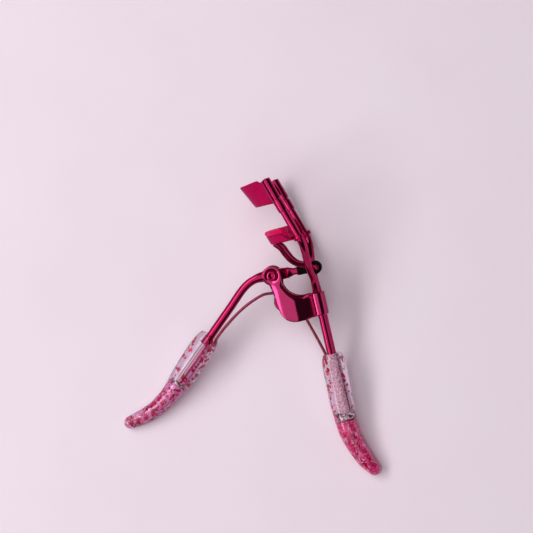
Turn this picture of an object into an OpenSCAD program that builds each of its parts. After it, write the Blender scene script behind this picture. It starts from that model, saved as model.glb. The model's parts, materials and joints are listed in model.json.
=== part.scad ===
// Eyelash curler, laid down on its side as it rests on a table.
//
// The parts are drawn upright in the curler's own plane: origin at the fulcrum, +Y up
// along the rails to the jaws, +X from the squeezed handle towards the rails, and +Z
// across the jaws from the rear rail to the front rail.  lay_down() then turns the whole
// curler so that it lies on its rear ear and its two grips, with +Z up.

/* [Rails and stem] */
// Distance between the two rails, centre to centre
rail_gap = 30; // [29.5:0.1:30.5]
// Diameter of the two frame rods
rod_d = 2.4; // [2.3:0.05:2.4]
// Distance of the rails in front of the fulcrum
rail_x = 15.45; // [15.3:0.05:15.6]
// Height of the rails' top ends above the fulcrum
rail_top = 27.8; // [27.4:0.1:28.2]
// Lean of the stem from the rails, in degrees
stem_lean = 17.4; // [17:0.1:17.8]

/* [Jaws] */
// Bulge of the upper jaw plate at its clamping edge, rails to outer face
plate_bulge = 8.6; // [8.2:0.1:8.8]
// How much further the plate's upper edge stands out
plate_flare = 1.3; // [0.6:0.1:1.4]
// Thickness of the upper jaw plate
plate_t = 0.6; // [0.4:0.05:0.7]
// Height of the clamping edge above the fulcrum, at the middle of the plate
clamp_y = 22.4; // [22.3:0.05:22.6]
// Height of the upper jaw plate
plate_h = 8.3; // [7.5:0.1:9]
// Slope of the jaws, fall in mm for each mm towards the rails
jaw_slope = 0.28; // [0.26:0.01:0.29]
// Radius of the lower jaw's curve, at the middle of the channel
jaw_r = 17; // [16.8:0.1:17.2]
// Width of the lower jaw's channel, outside
channel_w = 2.9; // [2.7:0.05:3]
// Thickness of the channel's walls
channel_wall = 0.5; // [0.4:0.05:0.6]
// Height of the channel's underside at the middle of the jaw
channel_y = 8.6; // [8.5:0.05:8.7]
// Height of the channel's walls
channel_h = 3; // [2.9:0.1:3.2]
// Travel of the lower jaw
jaw_travel = 8.45; // [8.2:0.05:8.7]

/* [Linkage] */
// Radius of the yoke pin
pin_r = 0.55; // [0.5:0.01:0.6]
// Height of the yoke pin below the fulcrum, jaws open
pin_drop = 5; // [4.9:0.05:5.1]
// Distance of the yoke pin in front of the fulcrum
pin_x = 14.2; // [14.1:0.05:14.3]
// Diameter of the yoke wires
yoke_d = 1.85; // [1.7:0.05:1.9]
// Diameter of the lever bar
bar_d = 2.8; // [2.6:0.05:2.9]

/* [Bracket] */
// Clear width between the bracket's cheeks
cheek_gap = 4.9; // [4.8:0.05:5]
// Thickness of the bracket's sheet
cheek_t = 0.8; // [0.7:0.05:0.9]
// Radius of the bracket's eye round the fulcrum
eye_r = 3.3; // [3.2:0.05:3.4]
// Outside radius of the rivet's shank
rivet_r = 1.25; // [1.2:0.01:1.3]
// Radius of the hole in the rivet's front end
rivet_bore_r = 0.9; // [0.8:0.01:0.95]

/* [Spring] */
// Diameter of the spring wire
wire_d = 1; // [0.9:0.05:1]
// Mean radius of the spring's coil
coil_r = 3.2; // [3.1:0.05:3.3]
// Whole turns in the coil
coil_turns = 2; // [2:1:3]

/* [Grips] */
// Thickness of a grip over its width
grip_flat = 0.92; // [0.85:0.01:1]
// Radius of the bore that takes a grip's core
core_bore_r = 2.65; // [2.65:0.01:2.7]

/* [Hidden] */

METAL = [0.70, 0.06, 0.28];
PLATE = [0.76, 0.08, 0.30];
SILICONE = [0.92, 0.12, 0.38];
NYLON = [0.05, 0.04, 0.05];
CLEAR = [0.95, 0.70, 0.85];
CORE = [0.98, 0.82, 0.88];
BAND = [0.35, 0.12, 0.16];

// How the curler lies: turned about its X axis, then about Y, then lifted off the table
LIE_X = 8.661;
LIE_Y = -7.612;
LIE_SHIFT = [24.592, 21.717, 13.714];

FN = 48;
CURVE_STEPS = 5;
ROUND = 12;
EPS = 0.02;
FIT = 0.08;

rod_r = rod_d / 2;
half_gap = rail_gap / 2;
yoke_r = yoke_d / 2;
bar_r = bar_d / 2;
wire_r = wire_d / 2;
cheek_z = cheek_gap / 2;

// ---- curves and sweeps ----

function unit(v) = v / norm(v);
function at(list, i) = list[max(0, min(len(list) - 1, i))];

// Catmull-Rom curve through the points of p, a few steps to each
function between(p, i, t) =
    let (a = at(p, i - 1), b = at(p, i), c = at(p, i + 1), d = at(p, i + 2))
    0.5 * (2 * b + (c - a) * t + (2 * a - 5 * b + 4 * c - d) * t * t + (3 * b - a - 3 * c + d) * t * t * t);
function smooth(p, steps = CURVE_STEPS) =
    [for (i = [0:len(p) - 2]) for (k = [0:steps - 1]) between(p, i, k / steps), p[len(p) - 1]];

function heading(path, i) = unit(at(path, i + 1) - at(path, i - 1));
function circle_shape(n) = [for (k = [0:n - 1]) [cos(360 * k / n), sin(360 * k / n)]];

// Solid of a shape carried along a path; sizes holds [across, upward] for each point
module sweep(path, sizes, up = [0, 0, 1], shape = circle_shape(ROUND)) {
    n = len(shape);
    last = len(path) - 1;
    points = [
        for (i = [0:last])
            let (t = heading(path, i), u = unit(up - (up * t) * t), v = cross(t, u))
                for (q = shape) path[i] + q[0] * sizes[i][0] * v + q[1] * sizes[i][1] * u
    ];
    sides = [
        for (i = [0:last - 1]) for (j = [0:n - 1])
            let (a = i * n + j, b = i * n + (j + 1) % n)
                each [[a, b, b + n], [a, b + n, a + n]]
    ];
    start_cap = [for (j = [n - 1:-1:0]) j];
    end_cap = [for (j = [0:n - 1]) last * n + j];
    polyhedron(points, concat([start_cap, end_cap], sides), convexity = 6);
}

module wire(path, r) {
    sweep(path, [for (p = path) [r, r]]);
}

// ---- placing ----

module lay_down() {
    translate(LIE_SHIFT) rotate([LIE_X, LIE_Y, 0]) children();
}

// Stands a shape drawn with its height along Z up along the rails
module upright(x, y, z) {
    translate([x, y, z]) rotate([-90, 0, 0]) children();
}

// Turns a shape drawn with its height along Z so that the height runs from a towards b
module along(a, b) {
    d = unit(b - a);
    translate(a) rotate([0, acos(d[2]), atan2(d[1], d[0])]) children();
}

// Both sides of the curler, front first
module both_sides() {
    for (side = [0, 1]) mirror([0, 0, side]) children();
}

// ---- rails, stem and collars ----

stem_dir = [-sin(stem_lean), -cos(stem_lean), 0];
stem_across = [cos(stem_lean), -sin(stem_lean), 0];
stem_top = [10.4, -12, 0];
stem_length = 41.5;
stem_stagger = 0.25;
stem_half_z = rod_r + 0.02;
rail_foot = 5.3;

function stem_at(s) = stem_top + s * stem_dir;

// The bend of a rod, from the foot of its rail to the top of the stem
function rod_bend(side) = smooth([
    [rail_x, 7.5, side * half_gap],
    [rail_x, 5.2, side * half_gap],
    [15.1, 2.8, side * 14.1],
    [14.2, 0.2, side * 12.1],
    [13.2, -2.4, side * 9.7],
    [12.3, -5.2, side * 6.0],
    [11.5, -8.4, side * 2.4],
    stem_at(0) + [0, 0, side * stem_half_z] - side * stem_stagger * stem_across,
    stem_at(2) + [0, 0, side * stem_half_z] - side * stem_stagger * stem_across
]);

module rail_rod(side) {
    rail = [rail_x, 0, side * half_gap];
    bend = [for (p = rod_bend(side)) if (p[1] < rail_foot - 0.1) p];
    foot = stem_at(2) + [0, 0, side * stem_half_z] - side * stem_stagger * stem_across;
    path = concat([rail + [0, rail_foot + 0.5, 0]], bend, [foot + (stem_length - 2) * stem_dir]);
    sizes = [for (i = [0:len(path) - 1]) i == 0 ? rod_r / 2 : rod_r - EPS];
    color(METAL) union() {
        translate(rail + [0, rail_foot, 0]) rotate([-90, 0, 0]) rotate_extrude($fn = FN) polygon([
            [0, 0], [rod_r, 0], [rod_r, rail_top - rail_foot - 0.4], [rod_r - 0.35, rail_top - rail_foot],
            [0, rail_top - rail_foot]
        ]);
        sweep(path, [for (r = sizes) [r, r]]);
    }
}

module front_rail_rod() lay_down() rail_rod(1);
module rear_rail_rod() lay_down() rail_rod(-1);

sleeve_y = 20.5;
sleeve_r = 1.55;
collar_h = 3.9;

module stop_collar(side) {
    color(METAL) upright(rail_x, sleeve_y - 0.4 - collar_h, side * half_gap) difference() {
        cylinder(r = sleeve_r - 0.05, h = collar_h, $fn = FN);
        translate([0, 0, -1]) cylinder(r = rod_r + 0.03, h = collar_h + 2, $fn = FN);
    }
}

module front_stop_collar() lay_down() stop_collar(1);
module rear_stop_collar() lay_down() stop_collar(-1);

// ---- upper jaw ----

plate_x = rail_x - plate_bulge;
plate_sag = plate_bulge - 1.25;
plate_r = (pow(half_gap - 0.2, 2) + pow(plate_sag, 2)) / (2 * plate_sag);
plate_end = 55.5;
plate_lean = atan(plate_flare / plate_h);

module plate_sheet() {
    intersection() {
        translate([plate_x, clamp_y, 0]) rotate([0, 0, plate_lean])
            upright(plate_r, -5, 0) rotate([0, 0, 180 - plate_end])
                rotate_extrude(angle = 2 * plate_end, $fn = 96) translate([plate_r - plate_t, 0])
                    square([plate_t, plate_h + 10]);
        linear_extrude(height = 2 * rail_gap, center = true) polygon([
            for (p = [[0, 0], [rail_x, 0], [rail_x, plate_h], [0, plate_h]])
                [p[0], clamp_y + p[1] - jaw_slope * (p[0] - plate_x)]
        ]);
    }
}

// The plate's rolled edges grip the rails, with their seams facing out
module upper_jaw_plate() lay_down() color(PLATE) difference() {
    seam = 0.75;
    seam_turn = 29;
    height = rail_top - sleeve_y + 0.1;
    union() {
        plate_sheet();
        both_sides() upright(rail_x, sleeve_y, half_gap) cylinder(r = sleeve_r, h = height, $fn = FN);
    }
    both_sides() upright(rail_x, 0, half_gap) {
        cylinder(r = rod_r + 0.03, h = 2 * rail_top, $fn = FN);
        rotate([0, 0, -seam_turn]) translate([-seam / 2, -sleeve_r - 1, 0]) cube([seam, sleeve_r + 1, 2 * rail_top]);
    }
}

// ---- lower jaw ----

jaw_axis_x = rail_x - 9 + jaw_r;
channel_end = 57.5;
channel_floor_end = 53;
ear_y = 5.8;
ear_h = 1.5;
ear_top = ear_y + ear_h;
end_top = ear_top - 0.1;
ear_r = 1.95;

function jaw_fall(x) = jaw_slope * (x - (jaw_axis_x - jaw_r));
function channel_floor(x) = channel_y - jaw_fall(x);
function channel_rim(x) = channel_y + channel_h - jaw_fall(x);

// Part of a ring about the jaw's axis, as tall as it is asked to be
module jaw_ring(r_in, r_out, y0, y1, end) {
    upright(jaw_axis_x, y0, 0) rotate([0, 0, 180 - end])
        rotate_extrude(angle = 2 * end, $fn = 96) translate([r_in, 0]) square([r_out - r_in, y1 - y0]);
}

// The jaw's side outline between two heights above its underside
module jaw_side(low, high, x0 = 3, x1 = 17) {
    linear_extrude(height = 2 * rail_gap, center = true) polygon([
        [x0, channel_floor(x0) + low], [x1, channel_floor(x1) + low],
        [x1, channel_floor(x1) + high], [x0, channel_floor(x0) + high]
    ]);
}

module ear() {
    upright(rail_x, ear_y, half_gap) cylinder(r = ear_r, h = ear_h, $fn = FN);
    translate([rail_x + 0.9, ear_y + 0.3, half_gap - 0.9]) cube([1.9, ear_h - 0.5, 0.9]);
}

module jaw_holder() lay_down() color(METAL) difference() {
    union() {
        intersection() {
            jaw_ring(jaw_r - channel_w / 2, jaw_r + channel_w / 2, 0, 20, channel_end);
            jaw_side(0, channel_h);
            linear_extrude(height = 2 * rail_gap, center = true)
                polygon([[0, 0], [20, 0], [20, end_top], [14, end_top], [13.1, 8.1], [11.9, 9.3], [10.3, 10.8], [0, 20]]);
        }
        both_sides() ear();
    }
    intersection() {
        jaw_ring(jaw_r - channel_w / 2 + channel_wall, jaw_r + channel_w / 2 - channel_wall, 0, 20, channel_floor_end);
        jaw_side(channel_wall, 20);
    }
    both_sides() upright(rail_x, 0, half_gap) cylinder(r = rod_r + FIT, h = 20, $fn = FN);
}

pad_end = 50;
pad_gap = 0.15;
pad_crest = clamp_y - jaw_travel - pad_gap;
pad_lift = 0.08;
pad_crest_w = channel_w / 2 - 0.05;
pad_crest_h = (pad_crest - channel_y - channel_h - pad_lift) / norm([1, jaw_slope]);

// Section of the pad's crest, with rounded shoulders over a flat underside
function crest_shape() = [
    for (a = [0:15:180]) [
        pad_crest_w * sign(cos(a)) * pow(abs(cos(a)), 0.6), pad_crest_h * pow(sin(a), 0.6)
    ]
];

module silicone_pad() lay_down() color(SILICONE) union() {
    crest = [
        for (i = [0:24])
            let (a = pad_end * (i / 12 - 1), x = jaw_axis_x - jaw_r * cos(a))
                [x, channel_rim(x) + pad_lift, jaw_r * sin(a)]
    ];
    root_w = channel_w / 2 - channel_wall - 0.05;
    sweep(crest, [for (p = crest) [1, 1]], up = [jaw_slope, 1, 0], shape = crest_shape());
    intersection() {
        jaw_ring(jaw_r - root_w, jaw_r + root_w, 0, 20, pad_end - 0.7);
        jaw_side(channel_wall + 0.05, channel_h + 0.4);
    }
}

// ---- linkage ----

pin_at = [pin_x, -pin_drop, 0];
yoke_end_z = 2.65;
yoke_eye_r = pin_r + 0.45;
yoke_eye_t = 1.3;
yoke_top_z = 5.6;

module yoke_wire(side) {
    path = smooth([
        [6.9, 8.0, side * yoke_top_z],
        [7.5, 7.0, side * (yoke_top_z - 0.1)],
        [7.8, 4.3, side * (yoke_top_z - 0.7)],
        [8.35, 1.4, side * 4.3],
        [9.6, -0.9, side * 3.5],
        [11.6, -2.7, side * 2.9],
        pin_at + [-1.6, 1.1, side * yoke_end_z],
        pin_at + [0, 0, side * yoke_end_z]
    ]);
    color(METAL) difference() {
        union() {
            wire(path, yoke_r - EPS);
            translate(pin_at + [0, 0, side * yoke_end_z])
                cylinder(r = yoke_eye_r, h = yoke_eye_t, center = true, $fn = FN);
        }
        translate(pin_at) cylinder(r = pin_r + 0.03, h = 20, center = true, $fn = FN);
        for (face = [-1, 1])
            translate(pin_at + [0, 0, side * yoke_end_z + face * (yoke_eye_t / 2 + 1)])
                cube([5, 5, 2], center = true);
    }
}

module front_yoke_wire() lay_down() yoke_wire(1);
module rear_yoke_wire() lay_down() yoke_wire(-1);

module yoke_pin() lay_down() color(METAL) translate(pin_at) {
    shank = 2 * yoke_end_z + yoke_eye_t + 0.1;
    head_h = 0.35;
    cylinder(r = pin_r, h = shank, center = true, $fn = FN);
    both_sides() translate([0, 0, shank / 2]) cylinder(r1 = pin_r + 0.3, r2 = pin_r, h = head_h, $fn = FN);
}

arm_angle = atan2(-pin_drop, pin_x);
arm_reach = norm([pin_x, pin_drop]);
block_z = 1.75;
slot_slack = 0.15;

// Shapes drawn along the short arm, with the fulcrum at the origin
module along_arm() {
    rotate([0, 0, arm_angle]) children();
}

// The slotted eye lets the pin keep to its straight line while the arm swings
module joint_block() lay_down() color(NYLON) along_arm() difference() {
    union() {
        translate([arm_reach - 0.35, 0, -block_z]) cylinder(r = 2.25, h = 2 * block_z, $fn = FN);
        translate([8.6, -1.5, -block_z]) cube([arm_reach - 9, 3, 2 * block_z]);
    }
    for (r = [pin_x, arm_reach])
        translate([r, 0, 0]) cylinder(r = pin_r + slot_slack, h = 20, center = true, $fn = FN);
    translate([pin_x, -pin_r - slot_slack, -10]) cube([arm_reach - pin_x, 2 * (pin_r + slot_slack), 20]);
    translate([8, 0, 0]) rotate([0, 90, 0]) cylinder(r = 1.05, h = 3.5, $fn = FN);
}

hub_r = 3;
hub_z = cheek_z - 0.2;
bar_end = [-45.3, -14.6, 0];

module lever_bar() lay_down() color(METAL) difference() {
    path = smooth([
        [-1, 0.4, 0], [-3.2, 1.3, 0], [-5.3, 1.75, 0], [-7.5, 1.8, 0], [-9.6, 1.45, 0],
        [-12, 0.6, 0], [-14.8, -0.7, 0], [-17.5, -2, 0], bar_end
    ]);
    flare = [for (p = path) bar_r - EPS + 0.75 * max(0, 1 + p[0] / 6)];
    union() {
        cylinder(r = hub_r, h = 2 * hub_z, center = true, $fn = FN);
        sweep(path, [for (f = flare) [f, bar_r - EPS]]);
        along_arm() translate([1, -1.1, -1.1]) cube([7.6, 2.2, 2.2]);
        along_arm() translate([7, 0, 0]) rotate([0, 90, 0]) cylinder(r = 1, h = 4.3, $fn = FN);
    }
    cylinder(r = rivet_r + 0.05, h = 20, center = true, $fn = FN);
}

// ---- bracket, rivet and spring ----

sleeve_half_w = 2.3;
fold_r = 1.6;
dish_r = 2.3;
dish_depth = 0.4;
rivet_floor = 1;

module bracket_outline() {
    circle(r = eye_r, $fn = FN);
    polygon([
        [-1.8, -2], [-2.8, -6.9], [-3.8, -10.6], [-3.6, -14], [-2.6, -15.9], [-0.5, -17.4],
        [2.1, -18.3], [13, -21.2], [13, -13.4], [8.4, -11.6], [4.3, -10.2], [2.3, -7.6], [1.6, -5.4],
        [1.8, -3.8], [3, -1]
    ]);
}

// Everything on the handles' side of a line beside the stem, rounded where the sheet folds
module stem_side(x, half_z, fold_r) {
    translate(stem_at(-20)) rotate([0, 0, -stem_lean]) rotate([90, 0, 0]) linear_extrude(height = 50) {
        translate([-40, -half_z]) square([40 + x - fold_r, 2 * half_z]);
        translate([-40, -half_z + fold_r]) square([40 + x, 2 * (half_z - fold_r)]);
        for (s = [-1, 1]) translate([x - fold_r, s * (half_z - fold_r)]) circle(r = fold_r, $fn = FN);
    }
}

module bracket() lay_down() color(METAL) difference() {
    outer_z = cheek_z + cheek_t;
    intersection() {
        linear_extrude(height = 2 * outer_z, center = true) bracket_outline();
        stem_side(sleeve_half_w, outer_z, fold_r);
    }
    stem_side(sleeve_half_w - cheek_t, cheek_z, fold_r - cheek_t);
    cylinder(r = rivet_r + 0.02, h = 20, center = true, $fn = FN);
    both_sides() translate([0, 0, outer_z - dish_depth]) cylinder(r = dish_r, h = 1, $fn = FN);
}

module fulcrum_rivet() lay_down() color(METAL) difference() {
    reach = cheek_z + cheek_t - dish_depth;
    union() {
        cylinder(r = rivet_r, h = 2 * reach, center = true, $fn = FN);
        both_sides() translate([0, 0, reach]) cylinder(r1 = 1.65, r2 = 1.3, h = 0.35, $fn = FN);
    }
    translate([0, 0, -rivet_floor]) cylinder(r = rivet_bore_r, h = 20, $fn = FN);
}

coil_at = [-0.7, -9.55, 0];
coil_pitch = wire_d + 0.08;
leg_angle = 70;

module return_spring() lay_down() color(METAL) {
    sweep_angle = 360 * coil_turns + leg_angle;
    steps = 20 * coil_turns + 4;
    rise = coil_pitch * sweep_angle / 360;
    coil = [
        for (i = [0:steps])
            let (a = leg_angle - sweep_angle * i / steps)
                coil_at + [coil_r * cos(a), coil_r * sin(a), rise / 2 - rise * i / steps]
    ];
    top = coil_at[2] + rise / 2;
    left_leg = smooth([
        [-31.6, -11, top], [-27.1, -8.85, top], [-23.8, -7.4, top], [-19.4, -5.9, top], [-15.3, -4.8, top],
        [-10.9, -4.1, top], [-6.1, -4, top], [-2.6, -5.2, top]
    ], 3);
    right_leg = [[2.3, -18.4, -top], [2.2, -24.7, -top], [1.9, -31.9, -top], [1.5, -35.2, -top]];
    wire(concat(left_leg, coil, right_leg), wire_r);
}

// ---- grips ----

// Centreline points and half widths, from the mouth to the tip
fixed_grip_line = [
    [3.8, -32.9, 3.2], [2.9, -35.7, 3.95], [1, -41.4, 4.05], [-1, -47.1, 4.05], [-2.8, -52.8, 3.85],
    [-4.1, -58.6, 3.75], [-4.4, -64.5, 3.45], [-4, -69.8, 3.05], [-3.2, -73.2, 2.5]
];
moving_grip_line = [
    [-29, -6.95, 3.3], [-31.6, -8.3, 4.1], [-36.5, -10.7, 4.4], [-43.5, -14.05, 4.1], [-50.5, -17.1, 3.25],
    [-57, -18.95, 2.85], [-63, -19.3, 2.6], [-68, -18.75, 2.1]
];

// The outer form of a grip, with a rounded tip after its last point
module grip_form(line) {
    body = smooth(line, 3);
    tip = body[len(body) - 1];
    before = body[len(body) - 2];
    way = unit([tip[0] - before[0], tip[1] - before[1]]);
    cap = [for (a = [25:20:85]) [tip[0] + way[0] * tip[2] * sin(a), tip[1] + way[1] * tip[2] * sin(a), tip[2] * cos(a)]];
    all = concat(body, cap);
    sweep([for (p = all) [p[0], p[1], 0]], [for (p = all) [p[2], p[2] * grip_flat]], shape = circle_shape(20));
}

stem_bore_r = 2.5;
fixed_core_from = stem_at(26.2);
fixed_core_to = stem_at(stem_length + 0.3);
moving_core_dir = unit(bar_end - [-17.5, -2, 0]);
moving_core_to = bar_end + 0.3 * moving_core_dir;
moving_core_from = bar_end - 13 * moving_core_dir;
band_t = 1.8;

module core_bore(from, to, r) {
    along(from, to) cylinder(r = r, h = norm(to - from), $fn = FN);
}

module fixed_grip() lay_down() color(CLEAR) difference() {
    grip_form(fixed_grip_line);
    core_bore(stem_at(19), fixed_core_from + stem_dir, stem_bore_r);
    core_bore(fixed_core_from, fixed_core_to + band_t * stem_dir, core_bore_r);
    core_bore([2.2, -31, -1.2], [1.5, -35.6, -1.2], 0.75);
}

module moving_grip() lay_down() color(CLEAR) difference() {
    grip_form(moving_grip_line);
    core_bore(moving_core_from - 6 * moving_core_dir, moving_core_from + moving_core_dir, bar_r + 0.05);
    core_bore(moving_core_from, moving_core_to + band_t * moving_core_dir, core_bore_r);
    core_bore([-26, -8.3, 1.2], [-32.2, -11.3, 1.2], 0.8);
}

module core(from, to, r_in, r_mouth) {
    along(from, to) difference() {
        cylinder(r1 = r_mouth, r2 = core_bore_r - 0.03, h = norm(to - from), $fn = FN);
        translate([0, 0, -1]) cylinder(r = r_in, h = norm(to - from) + 2, $fn = FN);
    }
}

module fixed_grip_core() lay_down() color(CORE)
    core(fixed_core_from + 0.1 * stem_dir, fixed_core_to, stem_bore_r - 0.03, 2.59);
module moving_grip_core() lay_down() color(CORE)
    core(moving_core_from + 0.1 * moving_core_dir, moving_core_to, bar_r + 0.03, 2.35);

module band(at, dir) {
    color(BAND) along(at + 0.05 * dir, at + dir) cylinder(r = core_bore_r - 0.03, h = band_t - 0.1, $fn = FN);
}

module fixed_grip_band() lay_down() band(fixed_core_to, stem_dir);
module moving_grip_band() lay_down() band(moving_core_to, moving_core_dir);

upper_jaw_plate();
front_rail_rod();
rear_rail_rod();
front_stop_collar();
rear_stop_collar();
bracket();
fulcrum_rivet();
return_spring();
fixed_grip();
fixed_grip_core();
fixed_grip_band();
lever_bar();
joint_block();
moving_grip();
moving_grip_core();
moving_grip_band();
jaw_holder();
silicone_pad();
front_yoke_wire();
rear_yoke_wire();
yoke_pin();
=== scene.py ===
"""Looks of the eyelash curler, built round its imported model.

Shapes are drawn in the curler's own frame in millimetres, and placed by PLACE: the origin is the
fulcrum, +Y runs up the rails to the jaws, +X from the squeezed handle to the rails, and +Z from the
rear rail to the front one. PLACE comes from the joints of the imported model.
"""
import json
from math import atan2, cos, hypot, pi, radians, sin, sqrt, tan

import bmesh
import bpy
import numpy as np
from mathutils import Matrix, Vector
from mathutils.geometry import delaunay_2d_cdt


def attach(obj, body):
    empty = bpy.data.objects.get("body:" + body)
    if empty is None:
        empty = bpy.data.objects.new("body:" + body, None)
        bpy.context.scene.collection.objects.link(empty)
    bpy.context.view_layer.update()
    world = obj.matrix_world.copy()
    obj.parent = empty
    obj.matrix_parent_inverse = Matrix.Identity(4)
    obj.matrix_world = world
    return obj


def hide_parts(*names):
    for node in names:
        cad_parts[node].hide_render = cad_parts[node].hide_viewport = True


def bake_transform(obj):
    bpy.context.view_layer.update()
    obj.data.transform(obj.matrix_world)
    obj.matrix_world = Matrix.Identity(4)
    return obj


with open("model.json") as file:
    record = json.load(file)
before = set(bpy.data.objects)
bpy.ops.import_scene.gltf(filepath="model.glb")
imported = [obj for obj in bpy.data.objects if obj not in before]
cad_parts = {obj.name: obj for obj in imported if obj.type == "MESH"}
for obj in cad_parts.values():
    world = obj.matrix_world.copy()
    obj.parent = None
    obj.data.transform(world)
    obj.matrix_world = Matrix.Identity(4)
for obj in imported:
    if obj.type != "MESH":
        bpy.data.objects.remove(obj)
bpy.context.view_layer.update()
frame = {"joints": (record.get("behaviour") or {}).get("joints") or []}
MM = 0.001

# ---- the curler's own frame ----

JOINTS = {joint["name"]: joint for joint in frame["joints"]}
FULCRUM = Vector(JOINTS["lever_hinge"]["pos_m"])
AXIS_Z = Vector(JOINTS["lever_hinge"]["axis"]).normalized()
AXIS_Y = Vector(JOINTS["jaw_slide"]["axis"]).normalized()
AXIS_X = AXIS_Y.cross(AXIS_Z).normalized()
TURN = Matrix((AXIS_X, AXIS_Y, AXIS_Z)).transposed()
PLACE = Matrix.Translation(FULCRUM) @ TURN.to_4x4() @ Matrix.Scale(MM, 4)

# ---- sizes, in millimetres ----

FRONT = Vector((0, 0, 1))

# Rods, rolls and upper jaw
HALF_GAP = 15
RAIL_X = 15.45
RAIL_TOP = 27.8
ROD_R = 1.2
CLAMP_Y = 22.4
PLATE_X = 6.85
PLATE_OUTER_R = 18.57
PLATE_FLARE = 1.3
PLATE_H = 8.3
PLATE_T = 0.42
JAW_SLOPE = 0.28
SLEEVE_Y = 20.5
SLEEVE_MEAN_R = 1.43

# Lower jaw
JAW_TRAVEL = 8.45
CLOSED_GAP = 0.15
JAW_R = 17
JAW_AXIS_X = 23.45
CHANNEL_W = 2.9
CHANNEL_WALL = 0.45
CHANNEL_Y = 8.6
CHANNEL_H = 3.0
EAR_Y = 5.8
EAR_H = 1.3
PIN = Vector((14.2, -5, 0))
PIN_R = 0.55
YOKE_END_Z = 2.65

# Bracket, from its middle plane to the cheeks' inner faces, and the dish round the rivet's head
CHEEK_Z = 2.45
CHEEK_T = 0.8
EYE_R = 3.3
DISH_DEPTH = 0.42

# Spring
WIRE_R = 0.5
COIL_AT = Vector((-0.7, -9.55, 0))
COIL_R = 3.2
COIL_PITCH = 1.08
LEG_ANGLE = 70
COIL_TURNED = 2 * 360 + LEG_ANGLE

# Stem and lever
STEM_TOP = Vector((10.4, -12, 0))
STEM_LEAN = radians(17.4)
STEM_DOWN = Vector((-sin(STEM_LEAN), -cos(STEM_LEAN), 0))
STEM_ACROSS = Vector((cos(STEM_LEAN), -sin(STEM_LEAN), 0))
STEM_LENGTH = 41.5
BAR_R = 1.4
BAR_FROM = Vector((-17.5, -2, 0))
BAR_END = Vector((-45.3, -14.6, 0))
BAR_WAY = (BAR_END - BAR_FROM).normalized()
BAR_ACROSS = BAR_WAY.cross(FRONT)
GRIP_FLAT = 0.92


def stem_at(s, across=0.0, z=0.0):
    """A place in the stem, a length down from its top."""
    return STEM_TOP + STEM_DOWN * s + STEM_ACROSS * across + Vector((0, 0, z))


# ---- materials ----

# Most of what a noise texture gives lies between these
NOISE_LOW, NOISE_HIGH = 0.3, 0.7


class Look:
    """A Principled material and short ways to add texture to it."""

    def __init__(self, name, color, roughness=0.3, metallic=0.0, **sockets):
        self.material = bpy.data.materials.new(name)
        self.material.use_nodes = True
        self.nodes = self.material.node_tree.nodes
        self.links = self.material.node_tree.links
        self.shader = self.nodes["Principled BSDF"]
        self.place = self.nodes.new("ShaderNodeTexCoord").outputs["Object"]
        self.put("Base Color", (*color, 1))
        self.put("Roughness", roughness)
        self.put("Metallic", metallic)
        for socket, value in sockets.items():
            self.put(socket.replace("_", " "), value)

    def put(self, socket, value):
        self.shader.inputs[socket].default_value = value

    def join(self, out, into):
        self.links.new(out, into)

    def noise(self, size_mm, detail=3.0):
        texture = self.nodes.new("ShaderNodeTexNoise")
        texture.inputs["Scale"].default_value = 1 / (size_mm * MM)
        texture.inputs["Detail"].default_value = detail
        self.join(self.place, texture.inputs["Vector"])
        return texture.outputs["Fac"]

    def tint(self, value, *stops):
        """Base colour from a value, through stops of (position, colour)."""
        ramp = self.nodes.new("ShaderNodeValToRGB")
        elements = ramp.color_ramp.elements
        while len(elements) < len(stops):
            elements.new(0.5)
        for element, (position, color) in zip(elements, stops):
            element.position = position
            element.color = (*color, 1)
        self.join(value, ramp.inputs["Fac"])
        self.join(ramp.outputs["Color"], self.shader.inputs["Base Color"])

    def share(self, origin, way, length_mm):
        """Share of a straight stretch of the curler's frame, 0 at its origin and 1 at its far end."""
        scaled = TURN @ way / (length_mm * MM)
        dot = self.nodes.new("ShaderNodeVectorMath")
        dot.operation = "DOT_PRODUCT"
        dot.inputs[1].default_value = scaled
        self.join(self.place, dot.inputs[0])
        shift = self.nodes.new("ShaderNodeMath")
        shift.operation = "SUBTRACT"
        shift.inputs[1].default_value = (PLACE @ origin).dot(scaled)
        self.join(dot.outputs["Value"], shift.inputs[0])
        return shift.outputs["Value"]

    def rough(self, value, low, high):
        """Roughness from low to high as a noise value rises."""
        node = self.nodes.new("ShaderNodeMapRange")
        node.inputs["From Min"].default_value = NOISE_LOW
        node.inputs["From Max"].default_value = NOISE_HIGH
        node.inputs["To Min"].default_value = low
        node.inputs["To Max"].default_value = high
        self.join(value, node.inputs["Value"])
        self.join(node.outputs["Result"], self.shader.inputs["Roughness"])

    def bump(self, value, strength, depth_mm):
        node = self.nodes.new("ShaderNodeBump")
        node.inputs["Strength"].default_value = strength
        node.inputs["Distance"].default_value = depth_mm * MM
        self.join(value, node.inputs["Height"])
        self.join(node.outputs["Normal"], self.shader.inputs["Normal"])


def plated_metal(name, color, deep, roughness, lacquer=0.6, rim=(1, 1, 1)):
    """Lacquered plating: small changes of tone and gloss, and a faint orange peel."""
    look = Look(name, color, roughness, 1.0, Coat_Weight=lacquer, Coat_Roughness=0.8 * roughness)
    look.put("Specular Tint", (*rim, 1))
    look.tint(look.noise(3.0), (0.3, deep), (0.7, color))
    look.rough(look.noise(1.6, 3), roughness * 0.85, roughness * 1.2)
    look.bump(look.noise(1.8, 1), 0.2, 0.008)
    return look.material


def silicone_look():
    look = Look("silicone", (0.78, 0.01, 0.1), 0.4, Specular_IOR_Level=0.03)
    look.tint(look.noise(4.0), (0.25, (0.58, 0.004, 0.075)), (0.75, (0.68, 0.008, 0.12)))
    look.rough(look.noise(0.5, 4), 0.34, 0.5)
    look.bump(look.noise(0.25, 4), 0.3, 0.01)
    return look.material


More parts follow.
